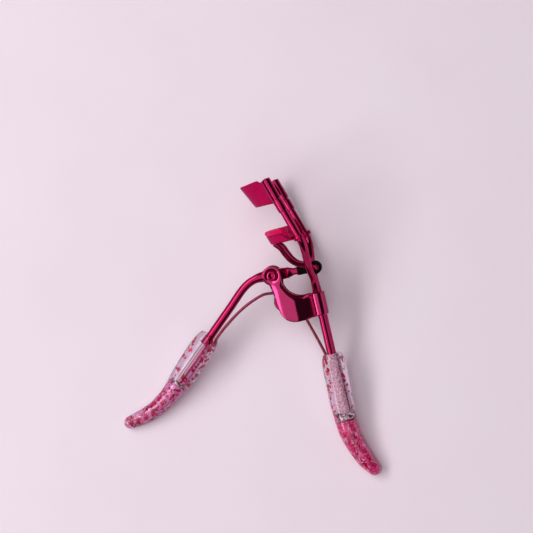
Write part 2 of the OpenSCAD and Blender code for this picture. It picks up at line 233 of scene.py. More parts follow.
def nylon_look():
    look = Look("nylon", (0.004, 0.003, 0.003), 0.4, Specular_IOR_Level=0.04)
    look.tint(look.noise(1.2), (0.3, (0.002, 0.001, 0.001)), (0.7, (0.005, 0.002, 0.0025)))
    look.rough(look.noise(0.3, 4), 0.3, 0.5)
    look.bump(look.noise(0.16, 4), 0.35, 0.012)
    return look.material


def clear_look(name, origin, way, gloss, stops):
    """Clear plastic with faint moulding waves, whose tint changes along the grip."""
    look = Look(
        name, stops[0][1], 0.04,
        Transmission_Weight=1.0, IOR=1.22, Coat_Weight=gloss, Coat_Roughness=0.03)
    look.tint(look.share(origin, way, 60), *stops)
    look.rough(look.noise(1.5, 3), 0.02, 0.07)
    look.bump(look.noise(2.6, 2), 0.3, 0.05)
    return look.material


def core_look(name, dark, middle, pale, grain):
    """Translucent liner or plug, speckled."""
    look = Look(name, middle, 0.35)
    look.tint(look.noise(grain, 4), (0.34, dark), (0.46, middle), (0.62, pale))
    look.bump(look.noise(grain, 3), 0.6, 0.05)
    return look.material


def flake_look(name, color, deep):
    look = Look(name, color, 0.25, 0.15)
    look.tint(look.noise(0.8, 2), (0.35, deep), (0.65, color))
    look.rough(look.noise(0.4), 0.16, 0.36)
    return look.material


def packed_look(name, cell_mm, *stops):
    """Glitter packed in the resin: small cells, each in a colour of its own."""
    look = Look(name, stops[0][1], 0.3, 0.1)
    cells = look.nodes.new("ShaderNodeTexVoronoi")
    cells.inputs["Scale"].default_value = 1 / (cell_mm * MM)
    look.join(look.place, cells.inputs["Vector"])
    pick = look.nodes.new("ShaderNodeSeparateColor")
    look.join(cells.outputs["Color"], pick.inputs["Color"])
    look.tint(pick.outputs["Red"], *stops)
    look.rough(pick.outputs["Green"], 0.15, 0.45)
    look.bump(cells.outputs["Distance"], 0.5, 0.08)
    return look.material


def stripes_and_highlight_look(name, origin, across, width_mm, *stops):
    """Moulded liner with stripes along it: the white and dark crimson stripes are a painted highlight and
    painted reflection of the metal bar inside, the pink ones are the liner's own colour.
    """
    look = Look(name, stops[0][1], 0.3)
    look.tint(look.share(origin, across, width_mm), *stops)
    look.rough(look.noise(1.0, 3), 0.2, 0.4)
    look.bump(look.noise(0.6, 3), 0.5, 0.04)
    return look.material


def floor_look():
    look = Look("pale_floor", (0.97, 0.84, 0.94), 0.6)
    look.tint(look.noise(40.0), (0.3, (0.96, 0.82, 0.925)), (0.7, (0.98, 0.855, 0.95)))
    look.rough(look.noise(2.0), 0.5, 0.7)
    return look.material


METAL = plated_metal(
    "crimson_metal", (0.39, 0.006, 0.08), (0.32, 0.004, 0.064), 0.1, 0.25, (0.85, 0.3, 0.5))
PRESSED = plated_metal(
    "pressed_metal", (0.38, 0.008, 0.092), (0.33, 0.006, 0.078), 0.14, 0.5, (0.8, 0.3, 0.5))
SATIN = plated_metal(
    "jaw_plate", (0.52, 0.004, 0.088), (0.46, 0.003, 0.07), 0.25, 0.1, (0.7, 0.12, 0.5))
WIRE = plated_metal("spring_wire", (0.26, 0.006, 0.05), (0.2, 0.004, 0.038), 0.15)
SILICONE = silicone_look()
NYLON = nylon_look()
LILAC = (0.91, 0.79, 0.92)
FIXED_CLEAR = clear_look(
    "fixed_clear_grip", STEM_TOP, STEM_DOWN, 0.9, [(0.7, LILAC), (0.74, (0.95, 0.68, 0.84))])
MOVING_CLEAR = clear_look(
    "moving_clear_grip", BAR_FROM, BAR_WAY, 0.4, [(0.4, LILAC), (0.62, (0.93, 0.68, 0.85))])
CORE = core_look("grip_core", (0.38, 0.07, 0.15), (0.80, 0.42, 0.53), (0.95, 0.72, 0.78), 0.5)
# Stripes across the moving liner: the white stop at 0.58 is a painted highlight, and the dark crimson stops
# at 0.24, 0.5 and 0.66 are painted reflection of the bar inside. The pink and pale stops are the liner's
# colour.
STRIPES_AND_HIGHLIGHTS = stripes_and_highlight_look(
    "striped_core_painted_highlight", BAR_END - BAR_ACROSS * 2.2, BAR_ACROSS, 4.4,
    (0.0, (0.75, 0.15, 0.4)), (0.16, (0.9, 0.62, 0.82)), (0.24, (0.55, 0.01, 0.12)),
    (0.36, (0.7, 0.06, 0.25)), (0.42, (0.95, 0.72, 0.86)), (0.5, (0.42, 0.005, 0.08)),
    (0.58, (0.98, 0.9, 0.95)), (0.66, (0.2, 0.005, 0.04)), (0.74, (0.96, 0.86, 0.94)),
    (1.0, (0.85, 0.7, 0.85)))
BAND = core_look("grip_band", (0.02, 0.004, 0.008), (0.20, 0.07, 0.08), (0.93, 0.80, 0.80), 0.75)
HOT_PACKED = packed_look(
    "hot_pink_glitter", 0.7,
    (0.12, (0.5, 0.0, 0.06)), (0.28, (0.75, 0.01, 0.12)), (0.42, (0.88, 0.04, 0.26)),
    (0.85, (0.92, 0.07, 0.34)), (0.97, (0.97, 0.40, 0.68)))
MILD_PACKED = packed_look(
    "lilac_pink_glitter", 0.95,
    (0.1, (0.42, 0.0, 0.05)), (0.3, (0.68, 0.01, 0.12)), (0.4, (0.80, 0.20, 0.46)),
    (0.75, (0.82, 0.36, 0.62)), (0.95, (0.92, 0.62, 0.82)))
CRIMSON_FLAKE = flake_look("crimson_flake", (0.66, 0.006, 0.08), (0.48, 0.003, 0.05))
MAGENTA_FLAKE = flake_look("magenta_flake", (0.9, 0.05, 0.28), (0.72, 0.02, 0.18))
PALE_FLAKE = flake_look("pale_flake", (0.98, 0.70, 0.84), (0.9, 0.45, 0.68))


# ---- mesh making ----

# Faces that meet at more than this are shaded as an edge, in degrees
SHARP_EDGE = 38
# Points nearer than this are one point, in metres
SAME_POINT = 2e-7
# A turned profile starts or ends this near its axis, in millimetres
ON_AXIS = 0.004


def piece(name, parts, material, body, nodes=()):
    """One object from (points, faces) parts in the curler's frame, riding on a body."""
    mesh = bmesh.new()
    for points, faces in parts:
        verts = [mesh.verts.new(PLACE @ Vector(p)) for p in points]
        for face in faces:
            corners = [verts[i] for i in face]
            if len(set(corners)) > 2:
                mesh.faces.new(corners)
    bmesh.ops.remove_doubles(mesh, verts=mesh.verts, dist=SAME_POINT)
    bmesh.ops.recalc_face_normals(mesh, faces=mesh.faces)
    data = bpy.data.meshes.new(name)
    mesh.to_mesh(data)
    mesh.free()
    data.polygons.foreach_set("use_smooth", [True] * len(data.polygons))
    data.set_sharp_from_angle(angle=radians(SHARP_EDGE))
    data.materials.append(material)
    made = bpy.data.objects.new(name, data)
    bpy.context.scene.collection.objects.link(made)
    if body:
        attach(made, body)
    if nodes:
        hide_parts(*nodes)
    return made


def curve(points, steps):
    """Catmull-Rom curve through points, a few steps to each."""
    points = [Vector(p) for p in points]
    last = len(points) - 1
    out = []
    for i in range(last):
        a, b, c, d = (points[max(0, min(last, k))] for k in (i - 1, i, i + 1, i + 2))
        for k in range(steps):
            t = k / steps
            point = 2 * b + (c - a) * t
            point += (2 * a - 5 * b + 4 * c - d) * t**2
            point += (3 * b - a - 3 * c + d) * t**3
            out.append(0.5 * point)
    return out + [points[last]]


def rounded(corners, radius, steps=5, closed=True):
    """A 2D outline with each corner rounded. A corner may hold its own radius as a third number."""
    out = []
    n = len(corners)
    for i, corner in enumerate(corners):
        here = Vector(corner[:2])
        r = corner[2] if len(corner) > 2 else radius
        if r == 0 or (not closed and i in (0, n - 1)):
            out.append(here)
            continue
        before, after = Vector(corners[i - 1][:2]) - here, Vector(corners[(i + 1) % n][:2]) - here
        half = before.angle(after) / 2
        reach = min(r / tan(half), 0.49 * before.length, 0.49 * after.length)
        a, b = here + before.normalized() * reach, here + after.normalized() * reach
        for k in range(steps + 1):
            t = k / steps
            w = 1 / sin(half) if half > 0.1 else 1
            num = a * (1 - t) ** 2 + here * (2 * t * (1 - t) / w) + b * t**2
            den = (1 - t) ** 2 + 2 * t * (1 - t) / w + t**2
            out.append(num / den)
    return out


def loft(rings, ends=True):
    """A skin over rings with the same number of points, with flat ends or joined end to end."""
    n = len(rings[0])
    points = [p for ring in rings for p in ring]
    faces = []
    spans = len(rings) - 1 if ends else len(rings)
    for i in range(spans):
        k = (i + 1) % len(rings)
        for j in range(n):
            m = (j + 1) % n
            faces.append((i * n + j, i * n + m, k * n + m, k * n + j))
    if ends:
        faces.append(tuple(range(n)))
        faces.append(tuple((len(rings) - 1) * n + j for j in range(n)))
    return points, faces


def headings(path):
    """The way that a path goes at each of its points."""
    last = len(path) - 1
    return [(path[min(last, i + 1)] - path[max(0, i - 1)]).normalized() for i in range(last + 1)]


def ring_round(centre, heading, wide, high, sides, up=FRONT):
    """An ellipse square to a heading, wide across and high upward."""
    across = heading.cross(up).normalized()
    over = across.cross(heading)
    angles = [2 * pi * k / sides for k in range(sides)]
    return [centre + across * (wide * cos(a)) + over * (high * sin(a)) for a in angles]


def tube(path, sizes, sides, dome=(0.35, 0.35), up=FRONT):
    """A round bar along a path, with domed ends. sizes is a radius, or (wide, high) for each point."""
    if isinstance(sizes, (int, float)):
        sizes = [(sizes, sizes)] * len(path)
    ways = headings(path)
    rings = [ring_round(p, w, a, b, sides, up) for p, w, (a, b) in zip(path, ways, sizes)]
    angles = [radians(a) for a in (20, 40, 60, 75, 86)]

    def end(i, sign, depth):
        a, b = sizes[i]
        places = [path[i] + ways[i] * (sign * depth * a * sin(t)) for t in angles]
        return [ring_round(p, ways[i], a * cos(t), b * cos(t), sides, up) for p, t in zip(places, angles)]

    return loft(end(0, -1, dome[0])[::-1] + rings + end(-1, 1, dome[1]))


def lathe(profile, centre, axis=FRONT, sides=96):
    """A closed profile of (radius, height) turned about an axis."""
    axis = axis.normalized()
    side = axis.orthogonal().normalized()
    other = axis.cross(side)
    rings = []
    for k in range(sides):
        a = 2 * pi * k / sides
        out = side * cos(a) + other * sin(a)
        rings.append([centre + out * r + axis * h for r, h in profile])
    return loft(rings, ends=False)


def sheet(outline, holes, surface, thickness, edge, grid=0.0, extra=(), skew=None):
    """A plate with rounded rims. surface(p, q, h) gives the place of a point of the flat pattern at
    height h over its middle; skew(p, q, side) moves its faces in or out."""
    half = thickness / 2
    edge = min(edge, half)
    turns = [radians(a) for a in (90, 68, 45, 22, 0)]
    rim = [(edge * cos(a) - edge, half - edge + edge * sin(a)) for a in turns]
    rim += [(d, -h) for d, h in reversed(rim)]
    loops = []
    for loop, outward in [(outline, 1)] + [(hole, -1) for hole in holes]:
        loop = [Vector(p[:2]) for p in loop]
        area = sum(a.x * b.y - a.y * b.x for a, b in zip(loop, loop[1:] + loop[:1]))
        if area * outward < 0:
            loop.reverse()
        normals = []
        for i, here in enumerate(loop):
            way = (loop[(i + 1) % len(loop)] - here).normalized() + (here - loop[i - 1]).normalized()
            normals.append(Vector((way.y, -way.x)).normalized())
        loops.append((loop, normals))
    inner = [[p + n * rim[0][0] for p, n in zip(loop, normals)] for loop, normals in loops]
    flat = [p for loop in inner for p in loop]
    edges = []
    start = 0
    for loop in inner:
        edges += [(start + i, start + (i + 1) % len(loop)) for i in range(len(loop))]
        start += len(loop)

    def inside(p, loop):
        hit = False
        for a, b in zip(loop, loop[1:] + loop[:1]):
            if (a.y > p.y) != (b.y > p.y) and p.x < (b.x - a.x) * (p.y - a.y) / (b.y - a.y) + a.x:
                hit = not hit
        return hit

    def within(p, margin=0.0):
        if not inside(p, inner[0]) or any(inside(p, loop) for loop in inner[1:]):
            return False
        return not margin or all((p - q).length > margin for q in flat[:start])

    if grid:
        xs, ys = [p.x for p in inner[0]], [p.y for p in inner[0]]
        rows = int((max(ys) - min(ys)) / grid)
        columns = int((max(xs) - min(xs)) / grid)
        spots = [
            Vector((min(xs) + (i + 0.5 * (j % 2)) * grid, min(ys) + j * grid))
            for j in range(1, rows) for i in range(1, columns)
        ]
        flat += [p for p in [Vector(e) for e in extra] if within(p, 0.12 * grid)]
        flat += [
            p for p in spots
            if within(p, 0.5 * grid) and all((p - Vector(e)).length > 0.6 * grid for e in extra)
        ]
    found = delaunay_2d_cdt(flat, edges, [], 1, 1e-6)
    spots, triangles = found[0], found[2]
    triangles = [t for t in triangles if within(sum((spots[i] for i in t), Vector((0, 0))) / 3)]
    parts = []
    for side in (1, -1):
        shifts = [skew(p.x, p.y, side) if skew else 0 for p in spots]
        parts.append(([surface(p.x, p.y, side * half + d) for p, d in zip(spots, shifts)], triangles))
    for loop, normals in loops:
        rings = []
        for d, h in rim:
            ring = [p + n * d for p, n in zip(loop, normals)]
            side = 1 if h > 0 else -1
            rings.append([
                surface(p.x, p.y, h + (skew(p.x, p.y, side) * abs(h) / half if skew else 0)) for p in ring
            ])
        points, faces = loft(rings)
        parts.append((points, faces[:-2]))
    return merge(parts)


def merge(parts):
    """Several (points, faces) parts as one."""
    points, faces = [], []
    for more_points, more_faces in parts:
        base = len(points)
        points += list(more_points)
        faces += [tuple(base + i for i in face) for face in more_faces]
    return points, faces


def circle(r, sides=64, centre=(0, 0)):
    angles = [2 * pi * k / sides for k in range(sides)]
    return [Vector((centre[0] + r * cos(a), centre[1] + r * sin(a))) for a in angles]


def smoothstep(x, low, high):
    t = min(1.0, max(0.0, (x - low) / (high - low)))
    return t * t * (3 - 2 * t)


def mirrored(part):
    """The same part on the other side of the curler."""
    points, faces = part
    return [Vector((p[0], p[1], -p[2])) for p in points], faces


# ---- upper jaw ----


def plate_section():
    """Half of the plate in plan, as (x, z): from its middle to the sleeve round the front rail."""
    mid_r = PLATE_OUTER_R - PLATE_T / 2
    arc_end, steps = 45, 40
    arc = [
        (PLATE_X + PLATE_OUTER_R - mid_r * cos(radians(a)), mid_r * sin(radians(a)))
        for a in [arc_end * k / steps for k in range(steps + 1)]
    ]
    line = curve([(x, z, 0) for x, z in arc + [(13.1, 13.65), (13.6, 14.2), (14.06, 14.62)]], 4)
    return [(p.x, p.y) for p in line]


def plate_sheet():
    """The curved sheet, which leans out upward and runs on to the rolls at its ends."""
    half = plate_section()
    points = [Vector((x, -z)) for x, z in reversed(half[1:])] + [Vector(p) for p in half]
    last = len(points) - 1
    half_t = PLATE_T / 2
    rings = []
    for i, p in enumerate(points):
        way = (points[min(last, i + 1)] - points[max(0, i - 1)]).normalized()
        out = Vector((-way.y, way.x))
        on_sleeve = smoothstep(abs(p.y), 13.2, 14.5)
        low = CLAMP_Y - JAW_SLOPE * (p.x - PLATE_X)
        low, high = low + (SLEEVE_Y + 0.1 - low) * on_sleeve, low + PLATE_H
        high += (RAIL_TOP - 0.1 - high) * on_sleeve
        lean = PLATE_FLARE * (1 - smoothstep(abs(p.y), 8.5, 13.2))
        section = rounded([(-half_t, low), (half_t, low), (half_t, high), (-half_t, high)], half_t * 0.9)
        rings.append([
            Vector((p.x + out.x * a - lean * (y - CLAMP_Y) / PLATE_H, y, p.y + out.y * a)) for a, y in section
        ])
    return loft(rings)


def sleeve():
    """The tube that the plate's end makes round the front rail, with its seam facing front left."""
    seam_from, seam_to = 104, 133
    half_t = PLATE_T / 2
    low, high = SLEEVE_Y, RAIL_TOP + 0.15
    rings = []
    turns = 76
    for k in range(turns + 1):
        a = radians(seam_to + (360 - seam_to + seam_from) * k / turns)
        taper = 0.45 if k in (0, turns) else 1
        section = rounded([(-half_t, low), (half_t, low), (half_t, high), (-half_t, high)], half_t * 0.9)
        spots = [(SLEEVE_MEAN_R + t * taper, y) for t, y in section]
        rings.append([Vector((RAIL_X + r * cos(a), y, HALF_GAP + r * sin(a))) for r, y in spots])
    return loft(rings)


def upper_jaw():
    piece("upper_jaw_sheet", [plate_sheet()], SATIN, "frame", ["upper_jaw_plate"])
    piece("upper_jaw_sleeves", [sleeve(), mirrored(sleeve())], METAL, "frame")


def rod(side):
    """A rail that bends inward and runs on down the stem."""
    z = side * HALF_GAP
    off = side * (ROD_R + 0.02)
    lean = -side * 0.25
    bend = [
        *[(RAIL_X, y, z) for y in (RAIL_TOP - 0.15, 20, 12, 7.5, 5.2)],
        (15.1, 2.8, side * 14.1), (14.2, 0.2, side * 12.1), (13.2, -2.4, side * 9.7),
        (12.3, -5.2, side * 6.0), (11.5, -8.4, side * 2.4),
        *[stem_at(s, lean, off) for s in (0, 2, 8, 20, STEM_LENGTH)],
    ]
    name = "front" if side > 0 else "rear"
    part = tube(curve(bend, 12), ROD_R, 48, (0.5, 0.2), up=Vector((0.35, 0, 1)).normalized())
    piece(f"{name}_rod", [part], METAL, "frame", [f"{name}_rail_rod"])


def collar(side):
    low, high, inner, outer = SLEEVE_Y - 4.3, SLEEVE_Y - 0.45, ROD_R + 0.03, 1.52
    profile = rounded([(inner, low), (outer, low), (outer, high), (inner, high)], 0.16)
    part = lathe(profile, Vector((RAIL_X, 0, side * HALF_GAP)), Vector((0, 1, 0)))
    name = "front" if side > 0 else "rear"
    piece(f"{name}_collar", [part], METAL, "frame", [f"{name}_stop_collar"])


# ---- lower jaw ----


def floor_y(x):
    """Height of the channel's underside, which slopes down towards the rails."""
    return CHANNEL_Y - JAW_SLOPE * (x - (JAW_AXIS_X - JAW_R))


def wall_top(x):
    """Height of the channel's wall: full along the jaw, and cut down to the ears at the ends."""
    full = floor_y(x) + CHANNEL_H
    return full - 1.9 * smoothstep(x, 10.3, 13.3)


def jaw_holder():
    """Curved channel, open above along the jaw and filled at its ends."""
    half_w, wall = CHANNEL_W / 2, CHANNEL_WALL
    end, steps = 57, 76
    rings = []
    for k in range(-steps, steps + 1):
        degrees_at = end * k / steps
        angle = radians(degrees_at)
        inside = 0.12 + 0.86 * smoothstep(abs(degrees_at), 50, 53.5)
        corners = [
            (-half_w, 0, 0.5), (half_w, 0, 0.5), (half_w, 1, 0.2), (half_w - wall, 1, 0.2),
            (half_w - wall, inside, 0.25), (-half_w + wall, inside, 0.25),
            (-half_w + wall, 1, 0.2), (-half_w, 1, 0.2),
        ]
        ring = []
        for a, b in rounded([(a, b * CHANNEL_H, r) for a, b, r in corners], 0.2, 4):
            x = JAW_AXIS_X - (JAW_R + a) * cos(angle)
            low, high = floor_y(x), wall_top(x)
            ring.append(Vector((x, low + (high - low) * b / CHANNEL_H, (JAW_R + a) * sin(angle))))
        rings.append(ring)
    return loft(rings)


def ear():
    """The ear round the front rail, with its flared tip."""
    r_hole, r_out = ROD_R + 0.09, 1.78
    mid = Vector((RAIL_X, EAR_Y + EAR_H / 2, HALF_GAP))

    def lie(p, q, h):
        return mid + Vector((p, h, q))

    body = [(r_out * cos(radians(a)), r_out * sin(radians(a))) for a in range(48, 330, 8)]
    tip = curve([
        (1.2, -1.3, 0), (1.6, -1.0, 0), (2.05, -1.05, 0), (2.1, -0.8, 0), (1.65, -0.4, 0), (1.2, 1.3, 0),
    ], 4)
    outline = body + [(p.x, p.y) for p in tip[1:-1]]
    return sheet(outline, [circle(r_hole)], lie, EAR_H, 0.3)


def lower_jaw():
    parts = [jaw_holder(), ear(), mirrored(ear())]
    piece("jaw_channel", parts, SATIN, "lower_jaw", ["jaw_holder"])


def pad():
    """Soft pad: a root in the channel under a crest with round shoulders and domed ends."""
    end, steps = 50.5, 66
    round_from, round_over = 0.955, 0.045
    crest_w = CHANNEL_W / 2 + 0.08
    root_w = CHANNEL_W / 2 - CHANNEL_WALL - 0.04
    crest_y = CLAMP_Y - JAW_TRAVEL - CLOSED_GAP
    rings = []
    for k in range(-steps, steps + 1):
        share = k / steps
        at = radians(end * share)
        past = max(0.0, abs(share) - round_from) / round_over
        narrow = max(0.04, sqrt(max(0.0, 1 - past**2)))
        x_mid = JAW_AXIS_X - JAW_R * cos(at)
        base = floor_y(x_mid) + CHANNEL_H + 0.06
        top = crest_y - JAW_SLOPE * (x_mid - (JAW_AXIS_X - JAW_R))
        lift = top - base
        w, r = crest_w * (0.35 + 0.65 * narrow), root_w * (0.35 + 0.65 * narrow)
        deep = base - 2.3
        crown = base + lift * (0.3 + 0.7 * narrow)
        corners = [
            (-r, deep, 0.2), (r, deep, 0.2), (r, base, 0.05), (w, base, 0.16), (w, crown - 0.45, 1.35),
            (-w, crown, 1.35), (-w, base, 0.16), (-r, base, 0.05),
        ]
        shape = rounded(corners, 0.2, 6)
        rings.append([
            Vector((JAW_AXIS_X - (JAW_R + a) * cos(at), y - JAW_SLOPE * a * -cos(at), (JAW_R + a) * sin(at)))
            for a, y in shape
        ])
    piece("jaw_pad", [loft(rings)], SILICONE, "lower_jaw", ["silicone_pad"])


def yoke(side):
    """Bent wire from under the channel, with an eye round the pin."""
    top_z, end_z = side * 5.6, side * YOKE_END_Z
    eye_half, eye_r = 0.65, 1.0
    path = curve([
        (6.7, 8.5, top_z), (7.2, 7.5, top_z - side * 0.05), (7.65, 6.1, side * 5.3), (7.8, 4.3, side * 4.9),
        (8.35, 1.4, side * 4.3), (9.6, -0.9, side * 3.5), (11.6, -2.7, side * 2.9),
        (PIN.x - 0.9, PIN.y + 0.65, end_z),
    ], 10)
    wire = tube(path, 0.9, 40, (0.7, 0.4))
    eye = lathe(
        rounded([
            (PIN_R + 0.02, -eye_half), (eye_r, -eye_half), (eye_r, eye_half), (PIN_R + 0.02, eye_half),
        ], 0.2),
        PIN + Vector((0, 0, end_z)),
    )
    name = "front" if side > 0 else "rear"
    piece(f"{name}_yoke", [wire, eye], METAL, "lower_jaw", [f"{name}_yoke_wire"])


def yoke_pin():
    """Pin through both yokes and the block, with a low head at each end."""
    reach = YOKE_END_Z + 0.68
    end = [
        (PIN_R, reach - 0.05, 0), (0.82, reach, 0.05), (0.8, reach + 0.2, 0.15), (0.45, reach + 0.38, 0.2),
        (ON_AXIS, reach + 0.4, 0),
    ]
    half = rounded(end, 0.1, 4)
    profile = [Vector((p.x, -p.y)) for p in reversed(half)] + half
    piece("pivot_pin", [lathe(profile, PIN, sides=64)], METAL, "lower_jaw", ["yoke_pin"])


# ---- lever ----

ARM_ANGLE = atan2(PIN.y, PIN.x)
ARM_REACH = hypot(PIN.x, PIN.y)
ARM = Vector((cos(ARM_ANGLE), sin(ARM_ANGLE), 0))
ARM_UP = Vector((-sin(ARM_ANGLE), cos(ARM_ANGLE), 0))


def on_arm(p, q, h):
    """A place on the lever's short arm: along it, across it and forward."""
    return ARM * p + ARM_UP * q + Vector((0, 0, h))


def joint_block():
    """Block on the short arm, whose eye for the pin is a short slot along the arm."""
    slot_r = PIN_R + 0.15
    eye_r, eye_x = 2.25, ARM_REACH - 0.35
    outline = [(eye_x + eye_r * cos(radians(a)), eye_r * sin(radians(a))) for a in range(-140, 141, 7)]
    outline += rounded([(12.6, 1.5), (8.6, 1.5, 0.35), (8.6, -1.5, 0.35), (12.6, -1.5)], 0.3, closed=False)
    hole = [(PIN.x + slot_r * cos(radians(a)), slot_r * sin(radians(a))) for a in range(90, 271, 12)]
    hole += [(ARM_REACH + slot_r * cos(radians(a)), slot_r * sin(radians(a))) for a in range(-90, 91, 12)]
    part = sheet(outline, [hole], on_arm, 3.5, 0.35)
    piece("nylon_block", [part], NYLON, "lever", ["joint_block"])


def lever():
    """Round bar, wider at its hub, with a pressed stretch and a neck on the short arm."""
    path = curve([
        (-1, 0.4, 0), (-3.2, 1.3, 0), (-5.3, 1.75, 0), (-7.5, 1.8, 0), (-9.6, 1.45, 0), (-12, 0.6, 0),
        (-14.8, -0.7, 0), (-17.5, -2, 0), (-26, -5.85, 0), (-36, -10.4, 0), BAR_END,
    ], 12)
    sizes = [(BAR_R + 0.75 * max(0.0, 1 + p.x / 6), BAR_R) for p in path]
    bar = tube(path, sizes, 48, (0.3, 0.12))
    hub_half = 2.25
    hub_profile = rounded([(1.3, -hub_half), (3, -hub_half), (3, hub_half), (1.3, hub_half)], 0.25)
    hub = lathe(hub_profile, Vector((0, 0, 0)))
    pressed = [
        (1.5, 2.1, 2.2), (3.0, 1.95, 2.15), (4.85, 1.8, 1.0), (5.25, 1.85, 1.75), (6.1, 1.55, 1.65),
        (7.4, 1.15, 1.3), (8.9, 1.25, 1.35),
    ]
    rings = []
    for s, wide, high in pressed:
        shape = rounded([(-wide, -high), (wide, -high), (wide, high), (-wide, high)], 0.6, 3)
        rings.append([on_arm(s, a, b) for a, b in shape])
    neck = tube([on_arm(s, 0, 0) for s in (7, 9, 11.2)], 1.0, 32)
    piece("lever_arm", [bar, hub, loft(rings), neck], METAL, "lever", ["lever_bar"])


# ---- bracket and rivet ----

WRAP_MID = -0.45
WRAP_A = 2.35
WRAP_Z = CHEEK_Z + CHEEK_T / 2
CREASE = -7.2


def wrap_section():
    """The sheet's middle from the crease to the back of the stem, as (across, z): a panel that slopes in
    to a pinch beside the stem, and half of an oval round it."""
    panel = [
        (CREASE - 0.5, WRAP_Z, 0), (CREASE, WRAP_Z - 0.08, 0),
        (-6.4, 2.42, 0), (-5.2, 1.87, 0), (-4.1, 1.4, 0), (-3.0, 1.1, 0),
    ]
    oval = [(WRAP_MID + WRAP_A * cos(radians(t)), WRAP_Z * sin(radians(t)), 0) for t in range(156, -1, -12)]
    return curve(panel + oval, 6)


WRAP = wrap_section()
WRAP_AT = [CREASE - 0.5]
for near, far in zip(WRAP, WRAP[1:]):
    WRAP_AT.append(WRAP_AT[-1] + (far - near).length)
PATTERN_MID = WRAP_AT[-1]


def to_stem(x, y):
    """A point of the curler's plane as (across, up) from the top of the stem."""
    d = Vector((x, y, 0)) - STEM_TOP
    return Vector((d.dot(STEM_ACROSS), -d.dot(STEM_DOWN)))


def bulge(a, b):
    """Pressed curve of a cheek, which falls away to its free edge and towards the crease."""
    left, right = max(0.0, -10.0 - a), max(0.0, a + 10.5)
    bent = min(left, 4.6)
    drop = (bent**2 + 2 * bent * (left - bent)) / 21 + right**2 / 27
    return -drop * (1 - 0.75 * smoothstep(b, 3.0, 9.0))


# The cheek's edge from the stem up to the eye
THROAT = curve([
    (9.6, -11.9, 0), (7.8, -11.4, 0), (5.6, -10.75, 0), (3.6, -9.4, 0), (2.3, -7.4, 0), (1.75, -5.3, 0),
    (1.95, -3.6, 0), (2.85, -1.9, 0),
], 5)


def curl(place):
    """How far the cheek bends inwards near its throat."""
    gap = min((place - p).length for p in THROAT)
    share = max(0.0, 1 - gap / 2.0)
    return -1.5 * (1 - sqrt(1 - min(1.0, share) ** 2)) * smoothstep(-place.y, 2.6, 5.0)


def opposite(p):
    """The same distance across the bracket's flat pattern on the other cheek."""
    return 2 * PATTERN_MID - p


def bracket_surface(p, q, h):
    """Place of a point of the bracket's flat pattern, p across and q up, at height h over its middle."""
    side = 1
    if p > PATTERN_MID:
        p, side = opposite(p), -1
    if p <= WRAP_AT[0]:
        spot, out = Vector((p, WRAP_Z, 0)), Vector((0, 1, 0))
    else:
        i = min(int(np.searchsorted(WRAP_AT, p)) - 1, len(WRAP) - 2)
        share = (p - WRAP_AT[i]) / (WRAP_AT[i + 1] - WRAP_AT[i])
        spot = WRAP[i].lerp(WRAP[i + 1], share)
        ways = [(WRAP[min(len(WRAP) - 1, k + 1)] - WRAP[k - 1]).normalized() for k in (max(1, i), i + 1)]
        way = ways[0].lerp(ways[1], share).normalized() if i < len(WRAP) - 2 else Vector((0, -1, 0))
        out = Vector((-way.y, way.x, 0))
    spot = spot + out * h
    place = STEM_TOP + STEM_ACROSS * spot.x - STEM_DOWN * q
    press = bulge(p, q) if p < CREASE else bulge(CREASE, q) * max(0.0, 1 - (p - CREASE) / 3)
    if p < -2.0:
        press += curl(place) * (1 - smoothstep(p, -6.0, -2.5))
    return place + Vector((0, 0, side * (spot.y + press)))


def bracket():
    """One sheet: two cheeks with an eye each, and the stretch between them that wraps the stem."""
    eye = to_stem(0, 0)
    ring = [eye + Vector((EYE_R * cos(radians(t)), EYE_R * sin(radians(t)))) for t in range(8, 242, 6)]
    left = curve([(*to_stem(x, y), 0) for x, y in [
        (-2.35, -2.25), (-2.55, -4.4), (-3.05, -7.2), (-3.75, -10.6), (-3.6, -14), (-2.5, -16.1),
        (-0.4, -17.6), (2.6, -18.6),
    ]], 5)
    throat = [to_stem(p.x, p.y) for p in THROAT[5:]]
    front = throat + ring + [p.xy for p in left]
    rear = [Vector((opposite(p.x), p.y)) for p in reversed(front)]
    first, low, high = -0.9, -8.15, -0.45
    steps = 36
    bottom = [Vector((first + k * 2 * (PATTERN_MID - first) / steps, low)) for k in range(steps + 1)]
    top = [Vector((p.x, high)) for p in reversed(bottom)]
    outline = front + bottom + rear + top
    eyes = [eye, Vector((opposite(eye.x), eye.y))]
    holes = [circle(1.27, 48, centre) for centre in eyes]
    extra = []
    for centre in eyes:
        for r, n in ((1.5, 36), (1.7, 40), (1.9, 44), (2.1, 48), (2.3, 52), (2.5, 56), (2.7, 60), (2.85, 60)):
            extra += circle(r, n, centre)

    def dish(p, q, side):
        if side < 0:
            return 0.0
        x = p if p < PATTERN_MID else opposite(p)
        return -DISH_DEPTH * (1 - smoothstep(hypot(x - eye.x, q - eye.y), 1.5, 2.7))

    part = sheet(outline, holes, bracket_surface, CHEEK_T, CHEEK_T / 2, 0.42, extra, dish)
    piece("folded_bracket", [part], PRESSED, "frame", ["bracket"])


def rivet():
    """Semi-tubular rivet: a rolled rim and a blind hole in front, a low dome behind."""
    seat = CHEEK_Z + CHEEK_T - DISH_DEPTH
    profile = rounded([
        (ON_AXIS, -1.0, 0), (0.9, -1.0, 0.2), (0.9, seat + 0.4, 0.12), (1.15, seat + 0.5, 0.15),
        (1.5, seat + 0.4, 0.2), (1.62, seat, 0.05), (1.25, seat - 0.05, 0), (1.25, 0.05 - seat, 0),
        (1.65, -seat, 0.05), (1.5, -seat - 0.36, 0.25), (ON_AXIS, -seat - 0.42, 0),
    ], 0.1, 4)
    part = lathe(profile, Vector((0, 0, 0)))
    piece("hollow_rivet", [part], METAL, "frame", ["fulcrum_rivet"])


# ---- spring ----


